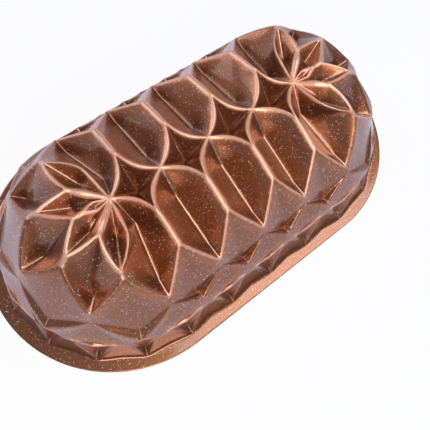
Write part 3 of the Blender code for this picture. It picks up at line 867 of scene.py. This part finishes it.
class Nodes:
    """Short ways to add and join shader nodes."""

    def __init__(self, name):
        self.material = bpy.data.materials.new(name)
        self.material.use_nodes = True
        self.tree = self.material.node_tree
        self.shader = self.tree.nodes["Principled BSDF"]

    def add(self, kind, links=(), **settings):
        """A node with values or links on its sockets, and its other settings by name."""
        node = self.tree.nodes.new("ShaderNode" + kind)
        for name, value in settings.items():
            setattr(node, name, value)
        for socket, value in dict(links).items():
            self.set(node.inputs[socket], value)
        return node

    def set(self, socket, value):
        if isinstance(value, bpy.types.NodeSocket):
            self.tree.links.new(value, socket)
        else:
            socket.default_value = value

    def math(self, operation, *values):
        node = self.tree.nodes.new("ShaderNodeMath")
        node.operation = operation
        for socket, value in zip(node.inputs, values):
            self.set(socket, value)
        return node.outputs[0]

    def span(self, value, low, high, start=0.0, end=1.0):
        """A smooth change from start to end as the value goes from low to high."""
        node = self.add("MapRange", {"Value": value, "From Min": low, "From Max": high,
                                     "To Min": start, "To Max": end},
                        interpolation_type="SMOOTHSTEP")
        return node.outputs["Result"]

    def blend(self, share, first, second):
        node = self.tree.nodes.new("ShaderNodeMix")
        node.data_type = "RGBA"
        self.set(node.inputs["Factor"], share)
        for socket, value in (("A", first), ("B", second)):
            socket = next(s for s in node.inputs if s.name == socket and s.type == "RGBA")
            self.set(socket, value if isinstance(value, bpy.types.NodeSocket) else (*value, 1))
        return next(s for s in node.outputs if s.type == "RGBA")

    def noise(self, place, scale, detail=3.0, roughness=0.55):
        node = self.add("TexNoise", {"Vector": place, "Scale": scale, "Detail": detail,
                                     "Roughness": roughness})
        return node.outputs["Fac"]


def speckles(nodes, place, spacing, size, share):
    """Round dots of up to the given size, one in that share of the cells of a loose grid."""
    cells = nodes.add("TexVoronoi", {"Vector": place, "Scale": 1 / spacing, "Randomness": 1.0})
    chance = nodes.add("TexWhiteNoise", {"Vector": cells.outputs["Position"]},
                       noise_dimensions="3D")
    kept = nodes.math("LESS_THAN", chance.outputs["Value"], share)
    radius = nodes.math("MULTIPLY", nodes.math("ADD", chance.outputs["Value"], 0.4 * share),
                        size / spacing / share)
    inside = nodes.math("SUBTRACT", radius, cells.outputs["Distance"])
    return nodes.math("MULTIPLY", kept, nodes.span(inside, 0.0, 0.12 * size / spacing))


def coating_material(look):
    """Glossy brown coating with pale speckles, rubbed to copper along the ridges, with painted
    highlights in the copper colour along the valley creases and a warm flank that is partly a
    painted glow of the pits.
    """
    nodes = Nodes("granite_coating")
    place = nodes.add("TexCoord").outputs["Object"]
    wear_and_glint = nodes.add("Attribute", attribute_name="wear_and_glint").outputs["Fac"]
    flank_and_glow = nodes.add("Attribute", attribute_name="flank_and_glow").outputs["Fac"]
    blotch = nodes.noise(place, BLOTCH_SCALE)
    grain = nodes.noise(place, GRAIN_SCALE, 2.0)
    both = nodes.math("ADD", blotch, nodes.math("MULTIPLY", grain, 0.5))
    uneven = nodes.math("SUBTRACT", both, 0.75)
    broken = nodes.math("MULTIPLY", uneven, UNEVEN_SHARE)
    # Warm tone beside the ridges, partly real and partly a painted glow of the pits.
    warm = nodes.span(nodes.math("ADD", flank_and_glow, broken), *WARM_RANGE)
    # The copper mask holds the real wear of the ridges and the painted highlights of the valley
    # creases.
    copper_and_glint = nodes.span(nodes.math("ADD", wear_and_glint, broken), *COPPER_RANGE)
    color = nodes.blend(warm, look.body, look.flank_and_glow)
    dark = nodes.math("MULTIPLY", nodes.span(grain, *DARK_RANGE), DARK_SHARE)
    color = nodes.blend(dark, color, [channel * DARK_LEVEL for channel in look.body])
    color = nodes.blend(copper_and_glint, color, look.ridge)
    dots = speckles(nodes, place, look.speckle_cell, DOT_SIZE, DOT_SHARE)
    dust = speckles(nodes, place, look.speckle_cell * 0.5, DUST_SIZE, DUST_SHARE)
    dots = nodes.math("MAXIMUM", dots, nodes.math("MULTIPLY", dust, DUST_LEVEL))
    color = nodes.blend(dots, color, look.speckle)
    nodes.set(nodes.shader.inputs["Base Color"], color)
    rough = nodes.math("ADD", look.gloss, nodes.math("MULTIPLY", uneven, UNEVEN_ROUGHNESS))
    rough = nodes.math("ADD", rough, nodes.math("MULTIPLY", copper_and_glint, COPPER_ROUGHNESS))
    nodes.set(nodes.shader.inputs["Roughness"], rough)
    metal = nodes.math("SUBTRACT", METALLIC, nodes.math("MULTIPLY", copper_and_glint, COPPER_LOSS))
    metal = nodes.math("MULTIPLY", metal, nodes.math("SUBTRACT", 1.0, dots))
    nodes.set(nodes.shader.inputs["Metallic"], metal)
    nodes.shader.inputs["Specular IOR Level"].default_value = SPECULAR_LEVEL
    nodes.shader.inputs["Coat Weight"].default_value = COAT_WEIGHT
    nodes.shader.inputs["Coat Roughness"].default_value = COAT_ROUGHNESS
    swell = nodes.noise(place, SWELL_SCALE, 2.0)
    swell = nodes.math("ADD", swell, nodes.math("MULTIPLY", dots, 0.5))
    bump = nodes.add("Bump", {"Height": swell, "Distance": BUMP_HEIGHT,
                              "Strength": BUMP_STRENGTH})
    nodes.set(nodes.shader.inputs["Normal"], bump.outputs["Normal"])
    nodes.material.diffuse_color = (*look.body, 1)
    return nodes.material


def camera_matrix():
    """Where the camera stands for the photo's view, and its right, up and back directions."""
    right, down, forward = (Vector(row) for row in VIEW_ROWS)
    turn = Matrix((right, -down, -forward)).transposed().to_4x4()
    return Matrix.Translation(VIEW_PLACE) @ turn


def add_camera():
    camera = bpy.data.cameras.new("photo_camera")
    camera.sensor_width = SENSOR_WIDTH
    camera.lens = SENSOR_WIDTH * VIEW_FOCAL / PHOTO_SIDE
    camera.shift_x = -(VIEW_CENTRE[0] - PHOTO_SIDE / 2) / PHOTO_SIDE
    camera.shift_y = (VIEW_CENTRE[1] - PHOTO_SIDE / 2) / PHOTO_SIDE
    camera.clip_start = NEAR_CLIP
    item = bpy.data.objects.new("photo_camera", camera)
    bpy.context.scene.collection.objects.link(item)
    item.matrix_world = camera_matrix()
    bpy.context.scene.camera = item


def add_lamp(name, power, place, size, tint):
    """A soft oblong lamp that faces the pan."""
    lamp = bpy.data.lights.new(name, "AREA")
    lamp.shape = "RECTANGLE"
    lamp.size, lamp.size_y = size
    lamp.energy = power
    lamp.color = tint
    item = bpy.data.objects.new(name, lamp)
    bpy.context.scene.collection.objects.link(item)
    item.location = place
    away = Vector(place) - Vector(LAMP_TARGET)
    item.rotation_euler = away.to_track_quat("Z", "Y").to_euler()


def add_floor(look):
    """A pale floor under the mouth, nearly white as it is seen and mirrored, with its shadow."""
    mesh = bpy.data.meshes.new("studio_floor")
    corners = [(-1, -1), (1, -1), (1, 1), (-1, 1)]
    mesh.from_pydata([(x * FLOOR_HALF, y * FLOOR_HALF, 0) for x, y in corners], [], [(0, 1, 2, 3)])
    floor = bpy.data.objects.new("studio_floor", mesh)
    bpy.context.scene.collection.objects.link(floor)
    floor.location.z = -FLOOR_DROP
    nodes = Nodes("studio_floor")
    nodes.shader.inputs["Base Color"].default_value = (*look.floor, 1)
    nodes.shader.inputs["Roughness"].default_value = 0.6
    path = nodes.add("LightPath")
    seen = path.outputs["Is Camera Ray"]
    tint = nodes.blend(seen, look.air, (1, 1, 1))
    white = nodes.add("Emission", {"Color": tint, "Strength": 1.0})
    bounced = nodes.math("MAXIMUM", path.outputs["Is Glossy Ray"],
                         path.outputs["Is Transmission Ray"])
    share = nodes.math("ADD", nodes.math("MULTIPLY", seen, look.floor_white),
                       nodes.math("MULTIPLY", bounced, look.floor_mirrored))
    mix = nodes.add("MixShader", {0: share, 1: nodes.shader.outputs[0], 2: white.outputs[0]})
    nodes.set(nodes.tree.nodes["Material Output"].inputs[0], mix.outputs[0])
    mesh.materials.append(nodes.material)


def add_world(look):
    world = bpy.data.worlds.new("studio_world")
    world.use_nodes = True
    background = world.node_tree.nodes["Background"]
    background.inputs["Color"].default_value = (*look.air, 1)
    background.inputs["Strength"].default_value = look.world
    bpy.context.scene.world = world


class CAKEPAN_OT_shell(Operator):
    """Build the cast shell with its coating"""
    bl_idname = "cakepan.shell"
    bl_label = "Cast shell"

    def execute(self, context):
        shell = shell_object(context.scene.pan_sizes)
        shell.data.materials.append(coating_material(context.scene.coating_look))
        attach(shell, "root")
        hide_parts("pan_casting")
        return {"FINISHED"}


class CAKEPAN_OT_stage(Operator):
    """Set out the floor, the lamps, the world and the camera"""
    bl_idname = "cakepan.stage"
    bl_label = "Studio stage"

    def execute(self, context):
        look = context.scene.stage_look
        add_floor(look)
        add_world(look)
        add_lamp("key_lamp", look.key, *KEY_LAMP)
        add_lamp("front_lamp", look.front, *FRONT_LAMP)
        add_lamp("back_lamp", look.rim, *BACK_LAMP)
        add_camera()
        context.scene.view_settings.view_transform = "Standard"
        return {"FINISHED"}


class CAKEPAN_PT_panel(Panel):
    """Lists the sizes, the colours and the steps that build the pan"""
    bl_idname = "CAKEPAN_PT_panel"
    bl_label = "Cake pan"
    bl_space_type = "VIEW_3D"
    bl_region_type = "UI"
    bl_category = "Cake pan"

    def draw(self, context):
        scene = context.scene
        for group in (scene.pan_sizes, scene.coating_look, scene.stage_look):
            box = self.layout.box()
            for name in group.__annotations__:
                box.prop(group, name)
        for operator in (CAKEPAN_OT_shell, CAKEPAN_OT_stage):
            self.layout.operator(operator.bl_idname)


CLASSES = (PanSizes, CoatingLook, StageLook, CAKEPAN_OT_shell, CAKEPAN_OT_stage, CAKEPAN_PT_panel)


def register():
    for item in CLASSES:
        bpy.utils.register_class(item)
    bpy.types.Scene.pan_sizes = PointerProperty(type=PanSizes)
    bpy.types.Scene.coating_look = PointerProperty(type=CoatingLook)
    bpy.types.Scene.stage_look = PointerProperty(type=StageLook)


def unregister():
    del bpy.types.Scene.pan_sizes
    del bpy.types.Scene.coating_look
    del bpy.types.Scene.stage_look
    for item in reversed(CLASSES):
        bpy.utils.unregister_class(item)


def main():
    register()
    bpy.ops.cakepan.shell()
    bpy.ops.cakepan.stage()


if __name__ == "__main__":
    main()
